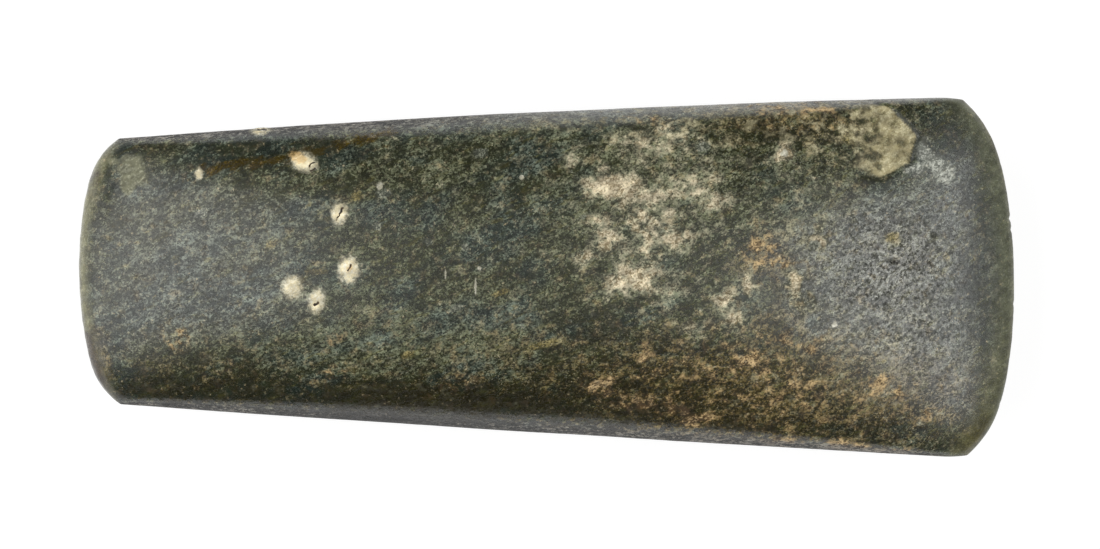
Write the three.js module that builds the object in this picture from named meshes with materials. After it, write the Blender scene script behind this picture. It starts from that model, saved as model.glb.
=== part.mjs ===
// A polished stone axe head lying on one broad face, in millimetres, with +X towards the cutting edge and +Z up.
// It is one solid piece of hard stone: a wedge in plan with two crowned broad faces, a narrow ground side
// along each edge, a rounded butt and a convex cutting edge. One shallow flake has spalled off near the edge.
import * as THREE from "three";
import { ParametricGeometry } from "three/addons/geometries/ParametricGeometry.js";
import { mergeVertices } from "three/addons/utils/BufferGeometryUtils.js";

// Plan
const length = 120; // butt to cutting edge, along the middle
const buttWidth = 34.2; // across the corners of the butt
const bitWidth = 46.4; // across the corners of the cutting edge
const sideBow = { left: 0.85, right: 0.35 }; // how far each side swells out from a straight line
const buttSweep = 2.6; // how far the arc of the butt falls back towards its corners
const buttTurn = 2.6; // how much further the last stretch turns into those corners
const buttSlant = 0.2; // how far the butt leans, its right corner forward and its left corner back
const bitSweep = 3.3; // the same three for the cutting edge
const bitTurn = 2.7;
const bitSlant = 0.45;
const bitCornerEase = 0.4; // how far the corners of the cutting edge are rounded in from the sides
const bitCornerLength = 4; // the length of that rounding

// Thickness
const thickness = 24.4; // at the thickest station
const thickestAt = 56; // that station, from the butt
const buttThickness = 11; // where the broad faces would meet the end, before it is rounded
const restDepth = 0.4; // ground off the underside as a small flat, which the axe lies on

// Section at the thickest station. It thins towards both ends, where the broad faces also lose their crown.
const sideHeight = 11.4; // of each ground side, between its two soft ridges
const sideSwell = 2; // how far a side bulges out beyond its ridges

// Flake scar in the upper face
const scarFromEdge = 17.4; // its middle, back from the cutting edge
const scarFromSide = 6.2; // its middle, in from the left side
const scarRadius = 5.4;
const scarDepth = 0.45;

// Exponents of the curves: a higher one keeps the middle flatter and makes the end turn harder
const turnPower = 8; // the corners of the butt and the cutting edge
const buttTaper = 2; // the thickness, from the middle to the butt
const buttRounding = 16; // the rounded end of the butt
const bitTaper = 2.4; // the thickness, from the middle to the cutting edge
const bitFullness = 0.75; // the same stretch: a lower one makes it fuller, with a blunter edge
const crownPower = 2.3; // a broad face, from its middle to its ridges
const crownFade = 0.5; // the height of the ridges: a higher one flattens the faces sooner towards the ends
const swellPower = 1.7; // a ground side, from its middle to its ridges

// Fineness of the faceted surface
const stations = 56; // along the axe
const faceSteps = 24; // across each broad face
const sideSteps = 5; // down each ground side
const endCrowding = 0.85; // 0 spaces the stations evenly, and 1 crowds them at both ends
const weldDistance = 1e-3;

const ringSteps = 2 * (faceSteps + sideSteps);
const mix = THREE.MathUtils.lerp;

// The station along the axe as a share of its length, from an even share, crowded towards the ends.
function stationShare(evenShare) {
  const crowded = (1 - Math.cos(Math.PI * evenShare)) / 2;
  return mix(evenShare, crowded, endCrowding);
}

// The distance from the centreline to the left (+Y) or right (-Y) side.
function halfWidth(share, isLeft) {
  const straight = mix(buttWidth, bitWidth, share) / 2;
  const bow = (isLeft ? sideBow.left : sideBow.right) * 4 * share * (1 - share);
  const intoCorner = Math.max(0, 1 - ((1 - share) * length) / bitCornerLength);
  return straight + bow - bitCornerEase * intoCorner ** 2;
}

// The distance from the butt end, where across runs from -1 at the right side to 1 at the left side.
function distanceAlong(share, across) {
  const turn = Math.abs(across) ** turnPower;
  const butt = buttSweep * across ** 2 + buttTurn * turn - buttSlant * across;
  const bit = length - bitSweep * across ** 2 - bitTurn * turn - bitSlant * across;
  return mix(butt, bit, share);
}

// Half the thickness on the centreline.
function halfThickness(share) {
  const peak = thickestAt / length;
  if (share > peak) {
    const towardsBit = (share - peak) / (1 - peak);
    return (thickness / 2) * (1 - towardsBit ** bitTaper) ** bitFullness;
  }
  const towardsButt = (peak - share) / peak;
  const wedge = mix(thickness, buttThickness, towardsButt ** buttTaper);
  return (wedge / 2) * Math.sqrt(1 - towardsButt ** buttRounding);
}

// How high the ridges of the ground sides stand above the middle plane.
function ridgeHeight(share) {
  const half = halfThickness(share);
  const thin = half / (thickness / 2);
  return half * mix(1, sideHeight / thickness, thin ** crownFade);
}

// How deep the flake scar is under a point of the upper face.
function scarDepthAt(x, y) {
  const middleShare = 1 - scarFromEdge / length;
  const middleY = halfWidth(middleShare, true) - scarFromSide;
  const reach = Math.hypot(x - (length - scarFromEdge), y - middleY) / scarRadius;
  return scarDepth * Math.max(0, 1 - reach ** 2);
}

// A point of a broad face: spread runs from -1 at its right ridge to 1 at its left ridge.
function facePoint(share, spread, isUpper, target) {
  const half = halfThickness(share);
  const thin = half / (thickness / 2);
  const width = halfWidth(share, spread > 0);
  const y = spread * (width - sideSwell * thin);
  const ridge = ridgeHeight(share);
  const crown = 1 - Math.abs(spread) ** crownPower;
  const height = ridge + (half - ridge) * crown;
  const x = distanceAlong(share, y / width);
  return isUpper
    ? target.set(x, y, height - scarDepthAt(x, y) * thin)
    : target.set(x, y, Math.max(-height, restDepth - thickness / 2));
}

// A point of a ground side: drop runs from -1 at its lower ridge to 1 at its upper ridge.
function sidePoint(share, drop, isLeft, target) {
  const thin = halfThickness(share) / (thickness / 2);
  const width = halfWidth(share, isLeft);
  const y = (isLeft ? 1 : -1) * (width - sideSwell * thin * Math.abs(drop) ** swellPower);
  return target.set(distanceAlong(share, y / width), y, drop * ridgeHeight(share));
}

// A point of the whole surface. A ring starts at the upper left ridge and goes over the upper face,
// down the right side, back under the axe and up the left side.
function surfacePoint(around, along, target) {
  const share = stationShare(along);
  const step = Math.round(around * ringSteps) % ringSteps;
  const onUpper = step <= faceSteps;
  const onRight = step < faceSteps + sideSteps;
  const onLower = step <= 2 * faceSteps + sideSteps;
  if (onUpper) return facePoint(share, 1 - (2 * step) / faceSteps, true, target);
  if (onRight) return sidePoint(share, 1 - (2 * (step - faceSteps)) / sideSteps, false, target);
  const beyond = step - faceSteps - sideSteps;
  if (onLower) return facePoint(share, -(1 - (2 * beyond) / faceSteps), false, target);
  return sidePoint(share, -(1 - (2 * (beyond - faceSteps)) / sideSteps), true, target);
}

// Welds the surface along its seams and drops the triangles that close up to nothing at the two ends.
function closedSurface(surface) {
  surface.deleteAttribute("normal");
  surface.deleteAttribute("uv");
  const welded = mergeVertices(surface, weldDistance);
  const corners = welded.index.array;
  const kept = [];
  for (let i = 0; i < corners.length; i += 3) {
    const [a, b, c] = corners.slice(i, i + 3);
    if (a !== b && b !== c && c !== a) kept.push(a, b, c);
  }
  welded.setIndex(kept);
  welded.computeVertexNormals();
  return welded;
}

// Puts the origin on the surface that the axe lies on, under the middle of its outline.
function laidDown(solid) {
  solid.computeBoundingBox();
  const middle = solid.boundingBox.getCenter(new THREE.Vector3());
  return solid.translate(-middle.x, -middle.y, -solid.boundingBox.min.z);
}

const greenstone = new THREE.MeshStandardMaterial({
  color: new THREE.Color(0.11, 0.12, 0.085),
  roughness: 0.45,
  metalness: 0,
  flatShading: true,
});

const surface = new ParametricGeometry(surfacePoint, ringSteps, stations);
const axeHead = new THREE.Mesh(laidDown(closedSurface(surface)), greenstone);
axeHead.name = "axe_head";

const stoneAxe = new THREE.Group();
stoneAxe.add(axeHead);

export default stoneAxe;
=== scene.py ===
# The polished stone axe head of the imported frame, dressed in worn greenstone and seen from straight above.
import math

import bpy
import numpy as np
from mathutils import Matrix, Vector, noise


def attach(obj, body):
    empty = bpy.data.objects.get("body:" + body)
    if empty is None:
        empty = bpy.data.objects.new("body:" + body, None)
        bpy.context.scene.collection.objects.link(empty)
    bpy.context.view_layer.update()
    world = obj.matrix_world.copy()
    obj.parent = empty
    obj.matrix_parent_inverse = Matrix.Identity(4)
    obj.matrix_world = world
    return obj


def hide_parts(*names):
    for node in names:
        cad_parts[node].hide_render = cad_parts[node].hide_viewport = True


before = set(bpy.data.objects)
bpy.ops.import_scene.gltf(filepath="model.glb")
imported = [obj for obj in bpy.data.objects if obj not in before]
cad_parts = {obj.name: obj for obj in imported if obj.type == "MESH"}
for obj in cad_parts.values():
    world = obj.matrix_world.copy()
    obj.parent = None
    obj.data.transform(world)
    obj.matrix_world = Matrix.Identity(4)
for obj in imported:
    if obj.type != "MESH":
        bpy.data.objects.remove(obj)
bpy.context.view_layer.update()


# The camera
# It looks straight down from 0.4 m above the table, and the axe lies turned by a hair in its view.

MM = 0.001
camera_place = (0.51 * MM, -0.04 * MM, 404.2 * MM)
camera_turn = math.radians(0.42)
lens_length = 100
sensor_width = 36

bpy.ops.object.camera_add(location=camera_place, rotation=(0, 0, camera_turn))
camera = bpy.context.object
camera.name = "camera"
camera.data.lens = lens_length
camera.data.sensor_width = sensor_width
camera.data.clip_start = 0.01
bpy.context.scene.camera = camera


# The form of the axe head
# One piece of dense green stone, pecked to shape, then ground on wet sandstone and rubbed to a satin polish.
# The frame's solid gives the form. A merged copy is made finer here and takes the wear, in millimetres.

middle_height = 11.8  # of the plane that halves the thickness
upper_blend = 1  # the height above it over which the detail of the upper face fades in
edge_x = 60.0  # the cutting edge, and the butt at the same distance the other way
edge_regain = 0.3  # what the subdivision surface takes off the thin edge, given back
edge_stretch = 4  # how far back from the edge that reaches
flat_blend = (0.02, 0.6)  # the heights over which the relief fades in above the small flat
weld_distance = 0.01

# The flake scar: a thin flake broke off in a step. Its corners go from the top round to the left.
scar_corners = [(40.5, 22.6), (43.6, 21.5), (47.0, 18.0), (46.0, 14.5), (42.2, 12.4), (38.0, 12.9)]
scar_start = 37.5  # where it feathers out towards the butt
scar_run = 7  # the length over which it reaches its full depth
scar_step = 0.30
scar_lip = 0.45  # how far the worn lip outside the step reaches
scar_foot = 0.05  # how far inside the step it is at its full depth

# Lime crusts: a place, how far each reaches along and across, its turn in degrees and its height
crusts = [
    ((-30.6, 13.9), (1.50, 1.10), -20, 0.20),
    ((-25.9, 7.4), (0.95, 1.30), -8, 0.22),
    ((-24.6, 0.4), (1.20, 1.45), 0, 0.20),
    ((-31.7, -1.9), (1.15, 1.30), 0, 0.20),
    ((-28.6, -3.6), (0.90, 1.40), -12, 0.22),
    ((-43.9, 12.4), (0.50, 0.65), 0, 0.12),
    ((-36.6, 18.1), (1.20, 0.60), 0, 0.12),
]
# Cracks in them, from one end to the other
cracks = [
    ((-26.25, 6.6), (-25.45, 8.1)),
    ((-29.9, 13.3), (-29.3, 13.9)),
    ((-29.7, 12.8), (-29.2, 13.1)),
    ((-24.7, 0.3), (-24.3, 1.0)),
    ((-28.9, -4.1), (-28.4, -3.7)),
    ((-36.9, 18.2), (-35.9, 18.2)),
]
crack_width = 0.19
crack_depth = 0.12
crack_bed = 0.3  # the share of its width where it is deepest
crust_shoulder = (0.45, 1.15)  # the shares of a crust's reach between which it falls away
crust_lump = 0.04  # how much its lumps add to its height
crust_raggedness = 0.18  # how much they move its border, as a share of its reach

# Notches worn into the cutting edge: where each is across the axe, how wide and how deep
notches = [(7.6, 0.9, 0.22), (6.2, 0.6, 0.16), (-3.3, 0.8, 0.12), (-16.2, 0.7, 0.12), (14.8, 0.6, 0.1)]
notch_shoulder = (0.1, 0.6)  # the shares of a notch's width between which it ends
edge_wear_stretch = (edge_x - 3.5, edge_x - 0.5)  # where the wear of the edge starts and where it is full

# Pits of the pecking hammer that the grinding left: a place, a reach and a depth
pits = [((49.0, 5.3), 0.50, 0.12), ((43.7, 1.9), 0.45, 0.10), ((45.9, 1.0), 0.35, 0.08)]
pit_shoulder = (0.2, 1.1)  # the shares of a pit's reach between which it ends

# How far around each detail the mesh is cut finer: of a crust and a pit as a share of its reach
finer_by_crust = 1.4
finer_by_pit = 2
finer_by_scar = 1

butt_rough_stretch = (3, 8)  # from the butt, where its roughness starts to fade and where it is gone
wave_stretch = (0.7, 1, 1)  # the grinding waves are longer along the axe

# Unevenness of each kind: how high it is, how far apart its bumps are, and a seed of its own
grinding_waves = (0.07, 9, 1)
grinding_ripples = (0.018, 2.6, 2)
fine_grinding = (0.006, 0.9, 4)
butt_pecking = (0.05, 1.3, 7)
fine_butt_pecking = (0.03, 0.6, 8)
scar_raggedness = (0.12, 0.9, 5)
crust_lumps = (1, 0.45, 3)
crack_winding = (0.13, 0.5, 9)
edge_wear = (0.03, 0.8, 6)


def smooth_step(value, low, high):
    """0 up to low, 1 from high, and an even bend between them."""
    share = np.clip((value - low) / (high - low), 0, 1)
    return share * share * (3 - 2 * share)


def unevenness(places, height, grain, seed):
    """A smooth random rise or fall of up to a height at each place, with bumps about one grain apart."""
    shift = Vector((seed, 2.7 * seed, -1.9 * seed))
    return height * np.array([noise.noise(Vector(place) / grain + shift) for place in places])


def distance_inside(x, y, corners):
    """How far each point lies inside the straight breaks between the corners, which bend to the right."""
    inside = np.full(len(x), np.inf)
    for (x0, y0), (x1, y1) in zip(corners, corners[1:]):
        span = math.hypot(x1 - x0, y1 - y0)
        inside = np.minimum(inside, ((x1 - x0) * (y0 - y) - (y1 - y0) * (x0 - x)) / span)
    return inside


def distance_to_line(x, y, start, end):
    """The distance of each point from a straight line between two ends."""
    along = Vector(end) - Vector(start)
    share = ((x - start[0]) * along.x + (y - start[1]) * along.y) / along.length_squared
    share = np.clip(share, 0, 1)
    return np.hypot(x - start[0] - share * along.x, y - start[1] - share * along.y)


def crack_distance(places):
    """How far each point of the crusts is from the nearest crack, which winds a little."""
    x, y = places.T[:2]
    winding = unevenness(places * (1, 1, 0), *crack_winding)
    return np.min([distance_to_line(x + winding, y - winding, *ends) for ends in cracks], axis=0)


def oval_distance(x, y, place, reach, turn):
    """The distance of each point from a place, as a share of an oval's reach."""
    cosine, sine = math.cos(math.radians(turn)), math.sin(math.radians(turn))
    along = ((x - place[0]) * cosine + (y - place[1]) * sine) / reach[0]
    across = ((y - place[1]) * cosine - (x - place[0]) * sine) / reach[1]
    return np.hypot(along, across)


def finer_copy(node, name, levels):
    """A merged copy of a frame solid, as quads, rounded by a subdivision surface."""
    bpy.ops.object.select_all(action="DESELECT")
    piece = bpy.data.objects.new(name, node.data.copy())
    bpy.context.scene.collection.objects.link(piece)
    bpy.context.view_layer.objects.active = piece
    piece.select_set(True)
    piece.data.materials.clear()
    bpy.ops.object.mode_set(mode="EDIT")
    bpy.ops.mesh.select_all(action="SELECT")
    bpy.ops.mesh.customdata_custom_splitnormals_clear()
    bpy.ops.mesh.remove_doubles(threshold=weld_distance * MM)
    bpy.ops.mesh.tris_convert_to_quads(face_threshold=math.pi, shape_threshold=math.pi)
    bpy.ops.mesh.normals_make_consistent(inside=False)
    bpy.ops.object.mode_set(mode="OBJECT")
    rounding = piece.modifiers.new("rounding", "SUBSURF")
    rounding.levels = levels
    rounding.render_levels = levels
    bpy.ops.object.modifier_apply(modifier=rounding.name)
    bpy.ops.object.shade_smooth()
    return piece


def cut_finer(piece, is_near, cuts):
    """Cuts the faces whose middle is near some detail."""
    middles = np.empty(len(piece.data.polygons) * 3, np.float32)
    piece.data.polygons.foreach_get("center", middles)
    near = is_near(middles.reshape(-1, 3) / MM)
    bpy.ops.object.mode_set(mode="EDIT")
    bpy.ops.mesh.select_mode(type="FACE")
    bpy.ops.mesh.select_all(action="DESELECT")
    bpy.ops.object.mode_set(mode="OBJECT")
    piece.data.polygons.foreach_set("select", near)
    bpy.ops.object.mode_set(mode="EDIT")
    bpy.ops.mesh.subdivide(number_cuts=cuts)
    bpy.ops.object.mode_set(mode="OBJECT")


def places_of(piece):
    """Every vertex of the piece, in millimetres."""
    places = np.empty(len(piece.data.vertices) * 3, np.float32)
    piece.data.vertices.foreach_get("co", places)
    return places.reshape(-1, 3) / MM


def normals_of(piece):
    """The direction that the surface faces at every vertex."""
    normals = np.empty(len(piece.data.vertices) * 3, np.float32)
    piece.data.vertex_normals.foreach_get("vector", normals)
    return normals.reshape(-1, 3)


def on_upper_face(places):
    """1 on the upper face, and 0 from the middle plane down."""
    return smooth_step(places[:, 2], middle_height, middle_height + upper_blend)


def crust_distance(x, y):
    """The distance of each point from the middle of the nearest crust, as a share of its reach."""
    return np.min([oval_distance(x, y, *crust[:3]) for crust in crusts], axis=0)


def pit_distance(x, y):
    """The distance of each point from the middle of the nearest pit, as a share of its reach."""
    return np.min([oval_distance(x, y, at, (reach, reach), 0) for at, reach, depth in pits], axis=0)


def near_crust(middles):
    """Which faces lie in or by a crust."""
    x, y, z = middles.T
    return (crust_distance(x, y) < finer_by_crust) & (z > middle_height)


def near_pit(middles):
    """Which faces lie in or by a pit."""
    x, y, z = middles.T
    return (pit_distance(x, y) < finer_by_pit) & (z > middle_height)


def near_scar(middles):
    """Which faces lie in or by the flake scar."""
    x, y, z = middles.T
    inside = distance_inside(x, y, scar_corners)
    return (inside > -finer_by_scar) & (x > scar_start) & (z > middle_height)


def scar_relief(places):
    """The flake scar: nothing at its start, then ever deeper, up to the step and its worn lip."""
    x, y = places.T[:2]
    inside = distance_inside(x, y, scar_corners) + unevenness(places, *scar_raggedness)
    depth = scar_step * smooth_step(x, scar_start, scar_start + scar_run)
    return -depth * smooth_step(inside, -scar_lip, scar_foot) * on_upper_face(places)


def crust_relief(places):
    """The crusts: low lumpy blisters with cracks in them."""
    x, y = places.T[:2]
    lumps = unevenness(places, *crust_lumps)
    relief = np.zeros(len(x))
    for place, reach, turn, height in crusts:
        away = oval_distance(x, y, place, reach, turn) + crust_raggedness * lumps
        blister = (height + crust_lump * lumps) * (1 - smooth_step(away, *crust_shoulder))
        relief = np.maximum(relief, blister)
    relief -= crack_depth * (1 - smooth_step(crack_distance(places), crack_bed * crack_width, crack_width))
    return relief * on_upper_face(places)


def pit_relief(places):
    """The few deep pits of the pecking hammer."""
    x, y = places.T[:2]
    relief = np.zeros(len(x))
    for place, reach, depth in pits:
        relief -= depth * (1 - smooth_step(oval_distance(x, y, place, (reach, reach), 0), *pit_shoulder))
    return relief * on_upper_face(places)


def ground_relief(places):
    """The uneven hand grinding: long low waves, and smaller ones on them."""
    waves = unevenness(places * wave_stretch, *grinding_waves)
    return waves + unevenness(places, *grinding_ripples) + unevenness(places, *fine_grinding)


def butt_relief(places):
    """The pecked butt, which was never ground quite smooth."""
    rough = unevenness(places, *butt_pecking) + unevenness(places, *fine_butt_pecking)
    from_butt = places[:, 0] + edge_x
    return rough * (1 - smooth_step(from_butt, *butt_rough_stretch))


def worn_back(places):
    """How far the notches push the cutting edge back."""
    x, y = places.T[:2]
    back = edge_wear[0] + unevenness(places, *edge_wear)
    for middle, width, depth in notches:
        away = np.abs(y - middle) / width
        back = np.maximum(back, depth * (1 - smooth_step(away, *notch_shoulder)))
    return back * smooth_step(x, *edge_wear_stretch)


def wear(piece):
    """Moves every vertex along its normal by the relief, and keeps the small flat that the axe lies on."""
    places, normals = places_of(piece), normals_of(piece)
    height = ground_relief(places) + butt_relief(places) + scar_relief(places) + crust_relief(places)
    height += pit_relief(places)
    height *= smooth_step(places[:, 2], *flat_blend)
    worn = places + normals * height[:, None]
    worn[:, 0] += edge_regain * smooth_step(places[:, 0], edge_x - edge_stretch, edge_x) - worn_back(places)
    worn[:, 2] = np.maximum(worn[:, 2], 0)
    piece.data.vertices.foreach_set("co", (worn * MM).astype(np.float32).ravel())
    piece.data.update()


axe = finer_copy(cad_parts["axe_head"], "axe_head_stone", levels=2)
cut_finer(axe, near_scar, cuts=1)
cut_finer(axe, near_crust, cuts=4)
cut_finer(axe, near_pit, cuts=2)
wear(axe)
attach(axe, "root")
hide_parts("axe_head")


# The weathering of the axe head
# Lying in the ground bleached the stone to cream in blotches, and iron stained it tan along its right side.
# Each blotch is a place, how far it reaches along and across, its turn in degrees and its strength. The mesh
# keeps what they come to at each vertex, for the material to read.

blotch_fall = 0.7  # how fast a blotch fades outwards
weathering = {}

weathering["cream"] = [
    (8.8, 11.0, 3.0, 1.7, -8, 1.3),
    (7.0, 13.1, 1.0, 0.9, 0, 0.7),
    (12.6, 10.0, 2.6, 1.1, -5, 0.85),
    (11.4, 7.2, 1.2, 2.0, 0, 0.8),
    (14.8, 4.6, 2.6, 1.1, 0, 0.85),
    (14.6, 7.2, 1.4, 1.0, 30, 0.6),
    (12.0, 3.0, 1.6, 1.0, 0, 0.55),
    (7.6, 4.6, 1.3, 1.6, 0, 0.8),
    (6.8, 6.7, 1.4, 1.0, 0, 0.7),
    (5.0, 2.3, 1.7, 0.7, 0, 0.7),
    (11.0, -0.5, 2.8, 1.6, 10, 1.2),
    (15.2, -2.5, 1.5, 1.3, 0, 0.6),
    (14.4, 18.8, 1.9, 1.1, 0, 0.75),
    (11.5, 16.4, 4.2, 1.6, 0, 0.5),
    (18.0, 17.0, 2.0, 1.3, 0, 0.5),
    (3.1, 14.4, 1.6, 1.7, 0, 0.5),
    (18.7, 11.2, 2.9, 1.2, 0, 0.6),
    (20.6, 9.1, 2.0, 1.1, 0, 0.6),
    (22.2, -3.0, 1.5, 1.0, 0, 0.95),
    (23.3, -5.1, 1.3, 1.5, 0, 0.85),
    (18.8, -7.0, 1.3, 1.3, 0, 0.65),
    (25.0, -1.1, 1.0, 1.0, 0, 0.85),
    (32.3, -3.0, 1.5, 1.1, 30, 0.7),
    (31.2, -0.9, 0.8, 1.5, 0, 1.15),
    (34.1, 4.1, 1.0, 0.9, 0, 1.15),
    (44.0, 4.9, 1.0, 0.8, 0, 0.9),
    (29.9, 15.5, 1.1, 1.0, 0, 1.5),
]

# Where the bleaching is only a thin haze of pale grains
weathering["haze"] = [
    (-32, 0, 20, 9.5, 3, 0.4),
    (-8, 6, 18, 8, 0, 0.3),
    (-14, -8.5, 20, 4.5, 3, 1.5),
    (-12, 11, 12, 5, 0, 0.5),
    (2, 14, 5, 5, 0, 1.0),
    (13, 9, 11, 13, 0, 1.3),
    (30, 9, 8, 9, 0, 1.0),
    (22, -3, 9, 7, 0, 0.9),
    (42, -12, 13, 8, 0, 1.3),
    (42, 2, 14, 10, 0, 0.8),
    (33, 20.5, 9, 2, 0, 1.3),
]

# Where the stone is still fresh and has few pale grains
weathering["fresh"] = [
    (-17, -17.6, 16, 3.0, 2, 2.1),
    (-42, -15.5, 16, 2.4, 2, 0.9),
    (3, -19.2, 9, 1.6, 2, 0.7),
    (15, -17, 9, 2.2, -8, 0.6),
    (27, 16.5, 3.5, 2.5, 0, 0.5),
    (-34, 15.3, 6, 1, 8, 0.5),
    (40, -19, 8, 1.2, 0, 0.6),
    (6, -7, 4, 2.5, 0, 0.6),
]

# Where soft pale clouds mottle the stone between the cream blotches
weathering["mottled"] = [
    (16, 9, 12, 11, 0, 1.0),
    (30, 9, 7, 7, 0, 0.9),
    (26, -3, 9, 6, 0, 0.7),
    (34, 19, 9, 4, 0, 0.8),
    (38, -12, 12, 6, 0, 0.6),
    (-14, 12, 8, 5, 0, 0.35),
]

# Iron stain, tan to rust brown
weathering["rust"] = [
    (6.9, -13.6, 2.3, 0.9, 20, 1.1),
    (11.5, -15.9, 3.6, 1.1, -8, 0.8),
    (15.5, -17.0, 3.0, 1.3, -10, 0.8),
    (19.0, -18.0, 3.2, 1.3, 0, 0.85),
    (12.8, -10.0, 1.2, 2.0, 0, 0.7),
    (12.8, -12.8, 1.2, 0.9, 0, 0.6),
    (25.8, -10.8, 1.9, 1.1, 0, 0.9),
    (27.0, -11.9, 3.0, 0.9, 0, 0.65),
    (32.6, -13.7, 2.4, 0.8, 0, 0.9),
    (34.0, -9.0, 1.0, 1.0, 0, 0.9),
    (29.5, -8.0, 2.6, 0.8, 0, 0.7),
    (42.2, -13.8, 1.4, 1.4, 0, 1.0),
    (44.4, -14.4, 1.2, 0.8, 0, 0.7),
    (30.3, -21.2, 2.8, 0.7, 0, 1.0),
    (38.6, -21.5, 2.6, 0.8, 0, 1.0),
    (44.0, -22.4, 2.4, 0.5, 0, 1.0),
    (36.8, -17.2, 1.4, 0.9, 0, 0.6),
    (48.3, -17.3, 1.0, 0.9, 0, 0.6),
    (28.2, 3.9, 1.1, 1.0, 0, 0.9),
    (26.4, 3.3, 1.3, 1.8, 0, 0.8),
    (29.0, 1.8, 1.6, 0.9, 0, 0.8),
    (28.0, 21.2, 3.5, 0.8, 0, 0.7),
    (34.0, 21.3, 3.0, 0.8, 0, 0.6),
    (13.5, 19.4, 1.6, 0.8, 0, 0.6),
    (27, -14, 16, 5, -8, 0.40),
    (32, 20, 7, 2, 0, 0.3),
    (-46.4, -8.5, 1.8, 1.4, 20, 0.6),
    (-39.5, -11.6, 1.6, 0.7, 20, 0.5),
    (-25.7, -8.2, 1.8, 0.7, 20, 0.5),
    (-27.5, -12.8, 2.4, 0.7, 15, 0.5),
    (-10.5, -13.6, 2.4, 0.7, 15, 0.45),
]

# Where the iron only darkens the stone to olive brown
weathering["brown"] = [
    (24, -15, 26, 7.5, 0, 1.0),
    (42, -15, 12, 6, 0, 1.0),
    (55, -20, 3, 4, 0, 0.9),
    (27, 2, 4.5, 3.5, 0, 0.8),
    (29, -6.5, 4, 3, 0, 0.8),
    (-45, -15, 16, 4.5, 0, 0.6),
    (-57.8, -12, 2.2, 4, 0, 1.6),
    (-58, 11.5, 2, 1.5, 0, 0.5),
    (-12, -16.5, 22, 3.2, 2, 0.9),
    (31, 20, 13, 3.5, 0, 0.7),
]

# Ragged pale grey skins
weathering["skin"] = [
    (48.3, 15.4, 2.0, 1.1, -45, 1.0),
    (50.2, 13.4, 1.9, 1.1, -50, 1.0),
    (47.2, 13.9, 1.7, 0.7, 10, 0.9),
    (-52.6, 12.6, 1.3, 1.6, 0, 1.7),
    (-53.0, 10.9, 0.9, 1.0, 0, 1.5),
    (-55.1, 13.9, 1.1, 0.35, -10, 0.9),
]

# The stretches that are thick with tiny pits, where a grey sheen is also painted into the colour
weathering["pitted"] = [(43.5, 1, 8, 7, 0, 1.0), (46, -7, 8, 7, 0, 0.6), (-48, 0, 10, 9, 0, 0.3)]

# The ochre vein along the left side, from the butt on
ochre_vein = [(-43.2, 13.0), (-37.0, 13.8), (-31.5, 14.7), (-26.0, 16.2), (-19.5, 18.0)]
ochre_reach = 1.1

# On the sides and the underside: how far apart the patches of a stain are, a seed and their strength
hidden_weathering = {"haze": (12, 9, 0.9), "brown": (16, 10, 0.8), "cream": (7, 11, 0.35)}

# The ends of each gradual change, from where it starts to where it is full
ground_side_turn = (0.82, 0.97)  # of the surface to the side, where the ground sides start
pecked_side_turn = (0.64, 0.84)  # the same for the pecking that still shows on them
kept_side_stretch = (-25, 8)  # along the axe, where the left side gets its better polish
hidden_patch = (-0.3, 0.5)  # of the unevenness, where a hidden patch starts
scar_fade = (scar_start - 1, scar_start + 6)
scar_stain_edge = 0.15  # how far inside the scar its colour is full, at its step
scar_stain_fade = 2.2  # and how much further at its start
step_shade = (-0.8, -0.4)  # from the step outwards
step_from = (44.5, 14)  # along and across, where the step throws a shade
crust_halo = 1.6  # how far a crust's pale dust reaches, as a share of its reach
crack_halo = 1.2  # and a crack's dark border, as a share of its width
pit_shade = (0.5, 1.1)
polish_sheen_along = (46, 54)
polish_sheen_across = (-20, 0)
edge_rim_height = (1.0, 3.0)  # from the middle plane
edge_rim_stretch = (47, 53)
butt_rim_height = (2.6, 4.4)
butt_rim_stretch = (54, 57)  # towards the butt
side_kept = 0.85
scar_stain_raggedness = (0.1, 0.9, 5)


def blotches_at(places, blotches):
    """The strength of the strongest blotch at each place of the upper face."""
    x, y = places.T[:2]
    strongest = np.zeros(len(x))
    for at_x, at_y, along, across, turn, strength in blotches:
        away = oval_distance(x, y, (at_x, at_y), (along, across), turn)
        strongest = np.maximum(strongest, strength * np.exp(-blotch_fall * away ** 2))
    return strongest * on_upper_face(places)


def out_of_sight(places, grain, seed, strength):
    """Plainer weathering for the sides and the underside: large uneven patches."""
    patches = smooth_step(unevenness(places, 1, grain, seed), *hidden_patch)
    return strength * patches * (1 - on_upper_face(places))


def vein_at(places, turns, reach):
    """How near each place of the upper face is to a vein."""
    x, y = places.T[:2]
    away = np.min([distance_to_line(x, y, *ends) for ends in zip(turns, turns[1:])], axis=0)
    return np.exp(-((away / reach) ** 2)) * on_upper_face(places)


def side_share(piece, low, high):
    """From 0 to 1 as the surface turns sideways from low to high, and less on the well kept left side."""
    along, across = places_of(piece).T[:2]
    sideways = np.abs(normals_of(piece)[:, 1])
    better_kept = side_kept * smooth_step(along, *kept_side_stretch) * (across > 0)
    return smooth_step(sideways, low, high) * (1 - better_kept)


def store(piece, name, values):
    """Keeps a number for each vertex, for the material to read."""
    kept = piece.data.attributes.new(name, "FLOAT", "POINT")
    kept.data.foreach_set("value", values.astype(np.float32))


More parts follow.
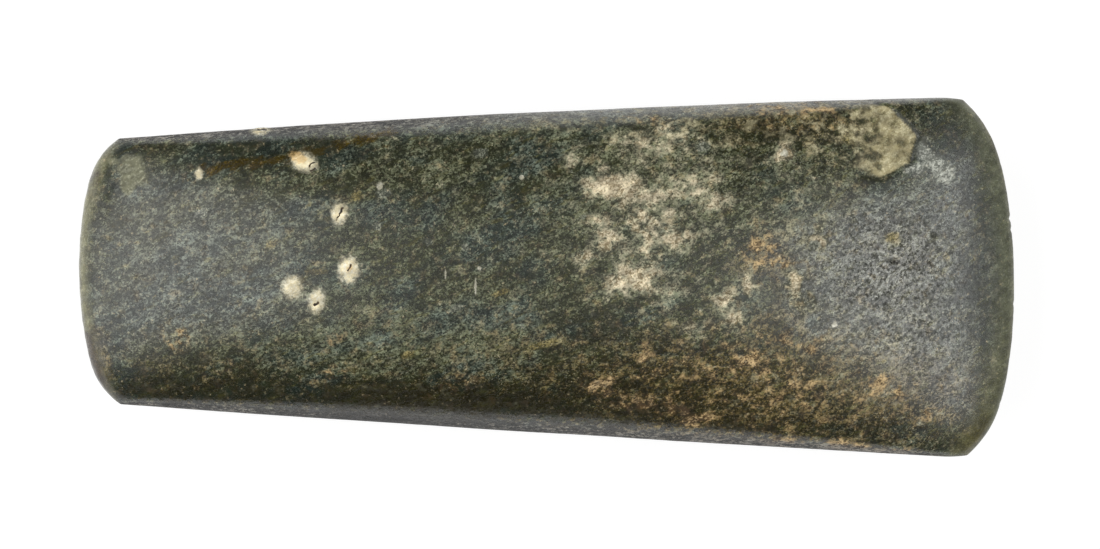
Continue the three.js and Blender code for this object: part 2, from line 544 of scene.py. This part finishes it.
axe_places = places_of(axe)
along_axe, across_axe, up_axe = axe_places.T
on_top = on_upper_face(axe_places)
thin = np.abs(up_axe - middle_height)
scar_inside = distance_inside(along_axe, across_axe, scar_corners)
scar_inside += unevenness(axe_places, *scar_stain_raggedness)
edgeward = smooth_step(along_axe, *scar_fade)
scar_border = scar_stain_edge + scar_stain_fade * (1 - edgeward)
by_step = (along_axe > step_from[0]) * (across_axe > step_from[1])
crust_away = crust_distance(along_axe, across_axe)
crack_away = crack_distance(axe_places)
pit_away = pit_distance(along_axe, across_axe)
edge_end = smooth_step(along_axe, *edge_rim_stretch)
butt_end = smooth_step(-along_axe, *butt_rim_stretch)

for stain, blotches in weathering.items():
    strength = blotches_at(axe_places, blotches)
    if stain in hidden_weathering:
        strength += out_of_sight(axe_places, *hidden_weathering[stain])
    store(axe, stain, strength)
store(axe, "ochre", vein_at(axe_places, ochre_vein, ochre_reach))
store(axe, "scar", smooth_step(scar_inside / scar_border, 0, 1) * on_top)
# The step: where the shade that the step throws is painted, over dark stone
store(axe, "step", smooth_step(scar_inside, *step_shade) * by_step * on_top)
store(axe, "edgeward", edgeward)
store(axe, "crust", (1 - np.minimum(crust_away / crust_halo, 1)) * on_top)
store(axe, "crack", (1 - smooth_step(crack_away, 0, crack_halo * crack_width)) * on_top)
# The deep pits: matt, and darkened by painted shade
store(axe, "pit", (1 - smooth_step(pit_away, *pit_shade)) * on_top)
store(axe, "side", side_share(axe, *ground_side_turn))
store(axe, "pecked", side_share(axe, *pecked_side_turn))
# Near the upper cutting edge: smoother stone, with a paler painted sheen
store(axe, "polished", smooth_step(along_axe, *polish_sheen_along) * smooth_step(across_axe, *polish_sheen_across))
# The thin edges, where the light coming through them is painted
store(axe, "edge_rim", (1 - smooth_step(thin, *edge_rim_height)) * edge_end)
store(axe, "butt_rim", (1 - smooth_step(thin, *butt_rim_height)) * butt_end)


# The stone itself
# Dark teal and olive minerals in a fine felt, drawn out along the bedding, with pale and yellow grains.
# Everything is worked out from the object's own coordinates, in millimetres, and from the stored blotches.

bedding_turn = (0.3, 0.1, math.radians(28))
bedding_thickness = 1.5  # of the grain upwards, for each millimetre across
far = 100  # the height of a fleck's oval, past both faces
side_strength = 0.9
edge_rim_strength = 0.9
step_shade_strength = 0.8
pitted_sheen_strength = 0.8
polish_and_sheen_strength = 0.7
iron_strength = 0.6
relief_height = 0.045
refraction = 1.6

# Each finish is two colours as a screen shows them, from 0 to 255: of its dark grains and of its light ones
olive_stone = ((38, 41, 20), (127, 131, 104))
teal_stone = ((29, 39, 31), (120, 130, 115))
brown_stone = ((36, 33, 12), (134, 118, 78))
# Pale grey of the pitted stretches: partly the stone, partly a painted sheen
pitted_stone_and_sheen = ((68, 68, 58), (160, 160, 148))
# By the upper cutting edge: smooth polished stone, paler with a painted sheen
polished_stone_and_sheen = ((56, 60, 54), (98, 102, 94))
pale_grains = ((84, 86, 72), (150, 153, 136))
yellow_threads = ((56, 55, 24), (136, 134, 94))
ochre = ((50, 42, 6), (100, 84, 32))
cream = ((60, 60, 40), (172, 169, 138))
cream_heart = ((138, 122, 88), (244, 229, 194))
rust = ((68, 48, 6), (184, 155, 104))
rust_heart = ((74, 52, 14), (220, 190, 138))
pale_fleck = ((66, 70, 58), (172, 174, 154))
tan_fleck = ((66, 62, 32), (164, 151, 102))
white_fleck = ((176, 172, 150), (222, 218, 200))
butt_skin = ((112, 112, 88), (166, 166, 140))
edge_skin = ((112, 115, 105), (218, 220, 206))
# The dark strip by the scar's step: dark stone, darkened further by painted shade
step_shade_on_dark_stone = ((40, 44, 36), (60, 64, 54))
dull_khaki = ((116, 104, 58), (160, 150, 104))
bright_khaki = ((160, 150, 112), (206, 198, 160))
side_stone = ((34, 32, 28), (160, 154, 144))
# Painted glow of the thin edges, plain and where brown stains them
edge_rim_glow = ((92, 95, 74), (120, 123, 100))
brown_edge_rim_glow = ((78, 72, 32), (112, 105, 62))
butt_rim_glow = ((110, 108, 74), (146, 144, 112))
brown_butt_rim_glow = ((50, 40, 22), (84, 68, 40))
crust_dust = ((170, 164, 138), (216, 211, 186))
crust_lime = ((246, 232, 190), (255, 250, 228))
iron_lime = ((212, 168, 92), (244, 214, 150))
crack_border = (74, 50, 20)
crack_bottom = (26, 18, 8)

stone = bpy.data.materials.new("greenstone")
stone.use_nodes = True
axe.data.materials.append(stone)
tree = stone.node_tree
shader = tree.nodes["Principled BSDF"]


def paint(red, green, blue):
    """A colour as a screen shows it, from 0 to 255, in the shader's own linear scale."""
    return [(part / 255 / 12.92 if part < 11 else ((part / 255 + 0.055) / 1.055) ** 2.4)
            for part in (red, green, blue)] + [1]


def node(kind, inputs, **settings):
    """A shader node with its settings, each input linked to a socket or set to a value."""
    made = tree.nodes.new(kind)
    for name, value in settings.items():
        setattr(made, name, value)
    for name, value in inputs.items():
        if isinstance(value, bpy.types.NodeSocket):
            tree.links.new(value, made.inputs[name])
        else:
            made.inputs[name].default_value = value
    return made


def stored(name):
    """A number that the mesh keeps at each vertex."""
    return node("ShaderNodeAttribute", {}, attribute_name=name).outputs["Fac"]


def grains(place, size, seed, detail=2, roughness=0.5):
    """Cloudy noise around 0.5, with grains of a size in millimetres."""
    shift = (37 * seed, 11 * seed, -23 * seed)
    shifted = node("ShaderNodeVectorMath", {0: place, 1: shift}, operation="ADD")
    inputs = {"Vector": shifted.outputs["Vector"], "Scale": 1 / size}
    inputs |= {"Detail": detail, "Roughness": roughness}
    return node("ShaderNodeTexNoise", inputs).outputs["Fac"]


def crystals(place, size):
    """A number from 0 to 1 for each mineral grain, of a size in millimetres."""
    cells = node("ShaderNodeTexVoronoi", {"Vector": place, "Scale": 1 / size}).outputs["Color"]
    return node("ShaderNodeSeparateColor", {"Color": cells}).outputs["Red"]


def ramp(value, low, high, first=0, last=1):
    """first up to low, last from high, and a smooth bend between them."""
    inputs = {"Value": value, "From Min": low, "From Max": high, "To Min": first, "To Max": last}
    return node("ShaderNodeMapRange", inputs, interpolation_type="SMOOTHSTEP").outputs["Result"]


def math_of(operation, a, b):
    """Two numbers added, multiplied or compared."""
    return node("ShaderNodeMath", {0: a, 1: b}, operation=operation).outputs["Value"]


def blend_of(*parts):
    """The sum of some numbers, each times its weight."""
    total = 0
    for value, weight in parts:
        added = node("ShaderNodeMath", {0: value, 1: weight, 2: total}, operation="MULTIPLY_ADD")
        total = added.outputs["Value"]
    return total


def tinted(under, over, share):
    """One colour laid over another by a share."""
    inputs = {"Factor": share, "A": under, "B": over}
    mix = tree.nodes.new("ShaderNodeMix")
    mix.data_type = "RGBA"
    for socket in mix.inputs:
        if socket.enabled and socket.name in inputs:
            value = inputs[socket.name]
            if isinstance(value, bpy.types.NodeSocket):
                tree.links.new(value, socket)
            else:
                socket.default_value = value
    return next(socket for socket in mix.outputs if socket.enabled)


def brighter(colour, factor):
    """A colour made brighter or darker by a factor."""
    return node("ShaderNodeVectorMath", {0: colour, "Scale": factor}, operation="SCALE").outputs["Vector"]


def painted(colours):
    """The dark and the light colour of a finish, in the shader's own scale."""
    return paint(*colours[0]), paint(*colours[1])


def stained(under, over, share):
    """One finish laid over another by a share."""
    return tinted(under[0], over[0], share), tinted(under[1], over[1], share)


def blotched(name, ragged, low, high, reach=1.0):
    """A stored blotch with its border broken up by ragged noise."""
    broken = math_of("MULTIPLY", math_of("SUBTRACT", ragged, 0.5), reach)
    return ramp(math_of("ADD", stored(name), broken), low, high)


coordinates = tree.nodes.new("ShaderNodeTexCoord").outputs["Object"]
in_millimetres = {"Vector": coordinates, "Scale": (MM, MM, MM)}
place = node("ShaderNodeMapping", in_millimetres, vector_type="TEXTURE").outputs[0]
height = node("ShaderNodeSeparateXYZ", {"Vector": place}).outputs["Z"]
upper = ramp(height, middle_height, middle_height + upper_blend)


def bedded(stretch):
    """Millimetres again, but drawn out along the bedding by a factor."""
    scale = (stretch * MM, MM, bedding_thickness * MM)
    inputs = {"Vector": coordinates, "Rotation": bedding_turn, "Scale": scale}
    return node("ShaderNodeMapping", inputs, vector_type="TEXTURE").outputs[0]


def fleck(at, reach, turn):
    """1 in the middle of an oval on the upper face, falling to 0 at its border."""
    rotation = (0, 0, math.radians(turn))
    oval = {"Location": (*at, middle_height), "Rotation": rotation, "Scale": (*reach, far)}
    within = node("ShaderNodeMapping", {"Vector": place} | oval, vector_type="TEXTURE").outputs[0]
    return node("ShaderNodeTexGradient", {"Vector": within}, gradient_type="SPHERICAL").outputs["Fac"]


def flecks_of(flecks, ragged):
    """Some flecks together, with ragged borders."""
    share = 0
    for at, reach, turn in flecks:
        share = math_of("MAXIMUM", fleck(at, reach, turn), share)
    return math_of("MULTIPLY", ramp(blend_of((share, 1), (ragged, 1.2)), 0.72, 1.15), upper)


# The grain: fine crystals in soft clouds, and other clouds that make the stains ragged
clouds = grains(bedded(1.5), size=2.4, seed=3, roughness=0.6)
small_crystals = crystals(bedded(1.15), size=0.17)
large_crystals = crystals(bedded(1.5), size=0.36)
grit = blend_of((small_crystals, 0.58), (large_crystals, 0.42), (clouds, 0.95), (1, -0.475))
wisps = grains(bedded(2), size=1.1, seed=6, detail=3, roughness=0.6)
patches = grains(bedded(1.8), size=4.5, seed=1, detail=3)
ragged = grains(place, size=1.6, seed=4, detail=4, roughness=0.65)
unrest = ramp(ragged, 0.3, 0.7, -1, 1)
other_unrest = ramp(grains(place, size=1.3, seed=16, detail=4, roughness=0.65), 0.3, 0.7, -1, 1)
border = grains(bedded(1), size=0.5, seed=14, detail=3, roughness=0.7)

# Fresh stone: olive and teal
surface = painted(olive_stone)
teal_share = ramp(blend_of((patches, 1), (stored("mottled"), -0.16)), 0.40, 0.62)
surface = stained(surface, painted(teal_stone), teal_share)
brown_share = ramp(blend_of((stored("brown"), 1), (unrest, 0.35)), 0.12, 0.85)
surface = stained(surface, painted(brown_stone), brown_share)
# Pitted stretches: paler grey, partly the pitted stone and partly a painted sheen
surface = stained(surface, painted(pitted_stone_and_sheen), math_of("MULTIPLY", stored("pitted"), pitted_sheen_strength))
# By the upper cutting edge: smoother polished stone, with a painted blue-grey sheen
surface = stained(surface, painted(polished_stone_and_sheen), math_of("MULTIPLY", stored("polished"), polish_and_sheen_strength))

# Sparse larger grains, yellow streaks along the bedding, and the ochre vein
sparse = ramp(grains(bedded(1.4), size=0.8, seed=17, detail=3, roughness=0.6), 0.60, 0.74, 0, 0.8)
surface = stained(surface, painted(pale_grains), math_of("MULTIPLY", sparse, stored("haze")))
threads = grains(bedded(3.2), size=0.75, seed=7, detail=3, roughness=0.6)
surface = stained(surface, painted(yellow_threads), ramp(threads, 0.53, 0.72, 0, 0.85))
surface = stained(surface, painted(ochre), blotched("ochre", threads, 0.55, 1.05, 2.6))

# Bleaching, and tan where iron got in
cream_field = blend_of((stored("cream"), 1), (stored("mottled"), 0.34), (unrest, 0.42))
rust_field = blend_of((stored("rust"), 1), (other_unrest, 0.52))
cream_share = ramp(cream_field, 0.12, 0.95)
rust_share = ramp(rust_field, 0.12, 1.2)
surface = stained(surface, painted(cream), cream_share)
surface = stained(surface, painted(cream_heart), ramp(cream_field, 0.55, 1.3))
surface = stained(surface, painted(rust), rust_share)
surface = stained(surface, painted(rust_heart), ramp(rust_field, 0.55, 1.2))

# Separate pale, tan and white flecks: the place, reach and turn of each
pale_flecks = [
    ((-43.5, 7.3), (1.3, 0.7), 25),
    ((-20.4, 9.9), (1.5, 0.9), 15),
    ((-21.0, 5.8), (0.9, 0.8), 0),
    ((-14.7, 3.9), (0.9, 0.7), 0),
    ((-10.1, 3.3), (0.7, 0.7), 45),
    ((-11.1, -4.3), (1.2, 0.6), 20),
    ((-8.4, 15.2), (1.6, 0.9), 10),
    ((33.6, 3.9), (1.2, 1.0), 0),
    ((19.6, 16.2), (1.3, 0.9), 0),
]
tan_flecks = [
    ((-23.8, 9.5), (1.2, 0.9), 30),
    ((-34.3, 3.5), (1.5, 0.7), 25),
    ((-28.7, 0.1), (2.0, 0.55), 0),
    ((-17.3, -10.2), (1.2, 0.7), 20),
    ((-5.5, -2.3), (1.8, 0.6), 20),
    ((-0.2, -8.8), (3.6, 0.7), 15),
    ((-57.4, 11.5), (0.9, 1.5), 0),
    ((43.5, 5.0), (1.4, 0.9), 20),
    ((50.7, 2.6), (0.7, 0.9), 0),
    ((38.3, 17.4), (1.2, 1.0), 0),
]
white_flecks = [
    ((-20.9, 10.9), (0.55, 0.75), 0),
    ((-8.3, 0.7), (0.42, 0.40), 0),
    ((-8.75, -1.6), (0.20, 1.30), 0),
    ((-12.5, -0.2), (0.18, 0.85), 0),
    ((-3.1, 12.1), (0.50, 0.42), 0),
    ((36.3, -6.1), (0.45, 0.55), 0),
    ((29.9, 15.5), (0.75, 0.70), 0),
]
surface = stained(surface, painted(pale_fleck), flecks_of(pale_flecks, border))
surface = stained(surface, painted(tan_fleck), flecks_of(tan_flecks, border))
surface = stained(surface, painted(white_fleck), flecks_of(white_flecks, border))

# Pale skins, the flake scar, and along its step a dark strip: the dark polished stone, with the shade that
# the step throws painted into it
skin_share = blotched("skin", ragged, 0.15, 0.85, 1.8)
skin = stained(painted(butt_skin), painted(edge_skin), stored("edgeward"))
surface = stained(surface, skin, skin_share)
surface = stained(surface, painted(step_shade_on_dark_stone), math_of("MULTIPLY", stored("step"), step_shade_strength))
scar_blend = ramp(blend_of((stored("edgeward"), 1), (unrest, 0.55)), 0.0, 1.1)
scar_share = math_of("MULTIPLY", stored("scar"), scar_blend)
khaki = stained(painted(dull_khaki), painted(bright_khaki), ramp(ragged, 0.34, 0.58))
surface = stained(surface, khaki, scar_share)

# The ground sides
surface = stained(surface, painted(side_stone), math_of("MULTIPLY", stored("side"), side_strength))

# Thin edges, where light comes through, painted in as a paler olive glow
edge_rim = math_of("MULTIPLY", stored("edge_rim"), edge_rim_strength)
surface = stained(surface, painted(edge_rim_glow), edge_rim)
surface = stained(surface, painted(brown_edge_rim_glow), math_of("MULTIPLY", edge_rim, stored("brown")))
butt_rim = stored("butt_rim")
surface = stained(surface, painted(butt_rim_glow), butt_rim)
surface = stained(surface, painted(brown_butt_rim_glow), math_of("MULTIPLY", butt_rim, brown_share))

# Lime crusts, with iron in two of them
crust_share = blotched("crust", border, 0.05, 0.60, 0.9)
crust_core = ramp(blend_of((stored("crust"), 1), (border, 0.8)), 0.65, 1.15)
surface = stained(surface, painted(crust_dust), crust_share)
surface = stained(surface, painted(crust_lime), crust_core)
iron_flecks = [((-31.3, 14.5), (1.5, 1.0), -20), ((-24.5, 0.5), (0.4, 0.9), -30)]
iron_share = math_of("MULTIPLY", flecks_of(iron_flecks, border), iron_strength)
surface = stained(surface, painted(iron_lime), iron_share)

# How many of the grains are light ones in each stain, and on the pecked sides
pecks = ramp(grains(place, size=0.8, seed=18, detail=4, roughness=0.75), 0.40, 0.58, -0.40, 0.55)
side_spots = math_of("MULTIPLY", pecks, stored("pecked"))
weathered_grit = blend_of((grit, 1), (stored("haze"), 0.14), (stored("fresh"), -0.42))
stained_grit = blend_of((weathered_grit, 1), (cream_share, 0.14), (rust_share, 0.32), (side_spots, 1))
light_share = ramp(stained_grit, 0.36, 1.18)
colour = brighter(tinted(*surface, light_share), ramp(wisps, 0.3, 0.7, 0.67, 1.31))

# The dark cracks of the crusts
crack_colour = tinted(paint(*crack_border), paint(*crack_bottom), ramp(border, 0.40, 0.60))
colour = tinted(colour, crack_colour, blotched("crack", border, 0.35, 0.70, 1.2))

# Fine grinding marks along the sides
marks = node("ShaderNodeMapping", {"Vector": place, "Scale": (8, 1, 1)}, vector_type="TEXTURE").outputs[0]
mark_lines = ramp(grains(marks, size=0.3, seed=15, detail=3), 0.42, 0.54, 1, 0)
mark_share = math_of("MULTIPLY", mark_lines, stored("side"))
colour = brighter(colour, ramp(mark_share, 0, 1, 1, 0.5))

# Gloss, fine relief and painted shade: the stains, the sides and the deep pits are matt, and the pits are
# painted darker
dull_stains = [cream_share, rust_share, crust_share, scar_share, skin_share]
matt = 0
for dull_share in dull_stains + [stored("side"), stored("pit")]:
    matt = math_of("MAXIMUM", dull_share, matt)
tiny_pits_and_shade = math_of("MULTIPLY", ramp(border, 0.38, 0.50, -1, 0), stored("pitted"))
gloss = blend_of((ramp(grit, 0.1, 0.8, 0.35, 0.20), 1), (matt, 0.40), (tiny_pits_and_shade, -0.4))
# Painted shade: the deep pits and the tiny ones are darkened in the colour
colour = brighter(colour, blend_of((tiny_pits_and_shade, 0.5), (stored("pit"), -0.5), (1, 1)))
relief = blend_of((grit, 0.35), (tiny_pits_and_shade, 0.5), (side_spots, 3.5))
bump = node("ShaderNodeBump", {"Height": relief, "Distance": relief_height * MM, "Strength": 1})

tree.links.new(colour, shader.inputs["Base Color"])
tree.links.new(gloss, shader.inputs["Roughness"])
tree.links.new(bump.outputs["Normal"], shader.inputs["Normal"])
shader.inputs["IOR"].default_value = refraction


# The floor and the light
# A plain white table, lit from both ends by large soft boxes and a little from above.

floor_size = 6  # metres, as are the places and sizes of the lights
floor_grey = (0.25, 0.25, 0.25, 1)
floor_glow = 0.86
white = (1, 1, 1, 1)
room_glow = 0.04

bpy.ops.mesh.primitive_plane_add(size=floor_size, location=(0, 0, 0))
floor = bpy.context.object
floor.name = "floor"
paper = bpy.data.materials.new("white paper")
paper.use_nodes = True
paper_shader = paper.node_tree.nodes["Principled BSDF"]
paper_shader.inputs["Base Color"].default_value = floor_grey
paper_shader.inputs["Roughness"].default_value = 1
paper_shader.inputs["Specular IOR Level"].default_value = 0
paper_shader.inputs["Emission Color"].default_value = white
paper_shader.inputs["Emission Strength"].default_value = floor_glow
floor.data.materials.append(paper)


def soft_box(name, place, size, brightness):
    """A rectangular light that faces the axe, with its brightness as seen from there."""
    bpy.ops.object.light_add(type="AREA", location=place)
    box = bpy.context.object
    box.name = name
    box.rotation_euler = Vector((0, 0, 1)).rotation_difference(Vector(place)).to_euler()
    box.data.shape = "RECTANGLE"
    box.data.size, box.data.size_y = size
    box.data.energy = brightness * math.pi * size[0] * size[1]
    box.visible_camera = False


soft_box("left soft box", (-0.40, 0.06, 0.53), (0.46, 0.80), 2.5)
soft_box("low left soft box", (-0.66, -0.05, 0.22), (0.36, 0.44), 2.2)
soft_box("right soft box", (0.43, -0.02, 0.52), (0.42, 0.46), 4.0)
soft_box("overhead", (0, 0, 0.62), (0.23, 0.80), 0.22)

world = bpy.data.worlds.new("studio")
world.use_nodes = True
background = world.node_tree.nodes["Background"]
background.inputs["Color"].default_value = white
background.inputs["Strength"].default_value = room_glow
bpy.context.scene.world = world
bpy.context.scene.view_settings.view_transform = "Standard"
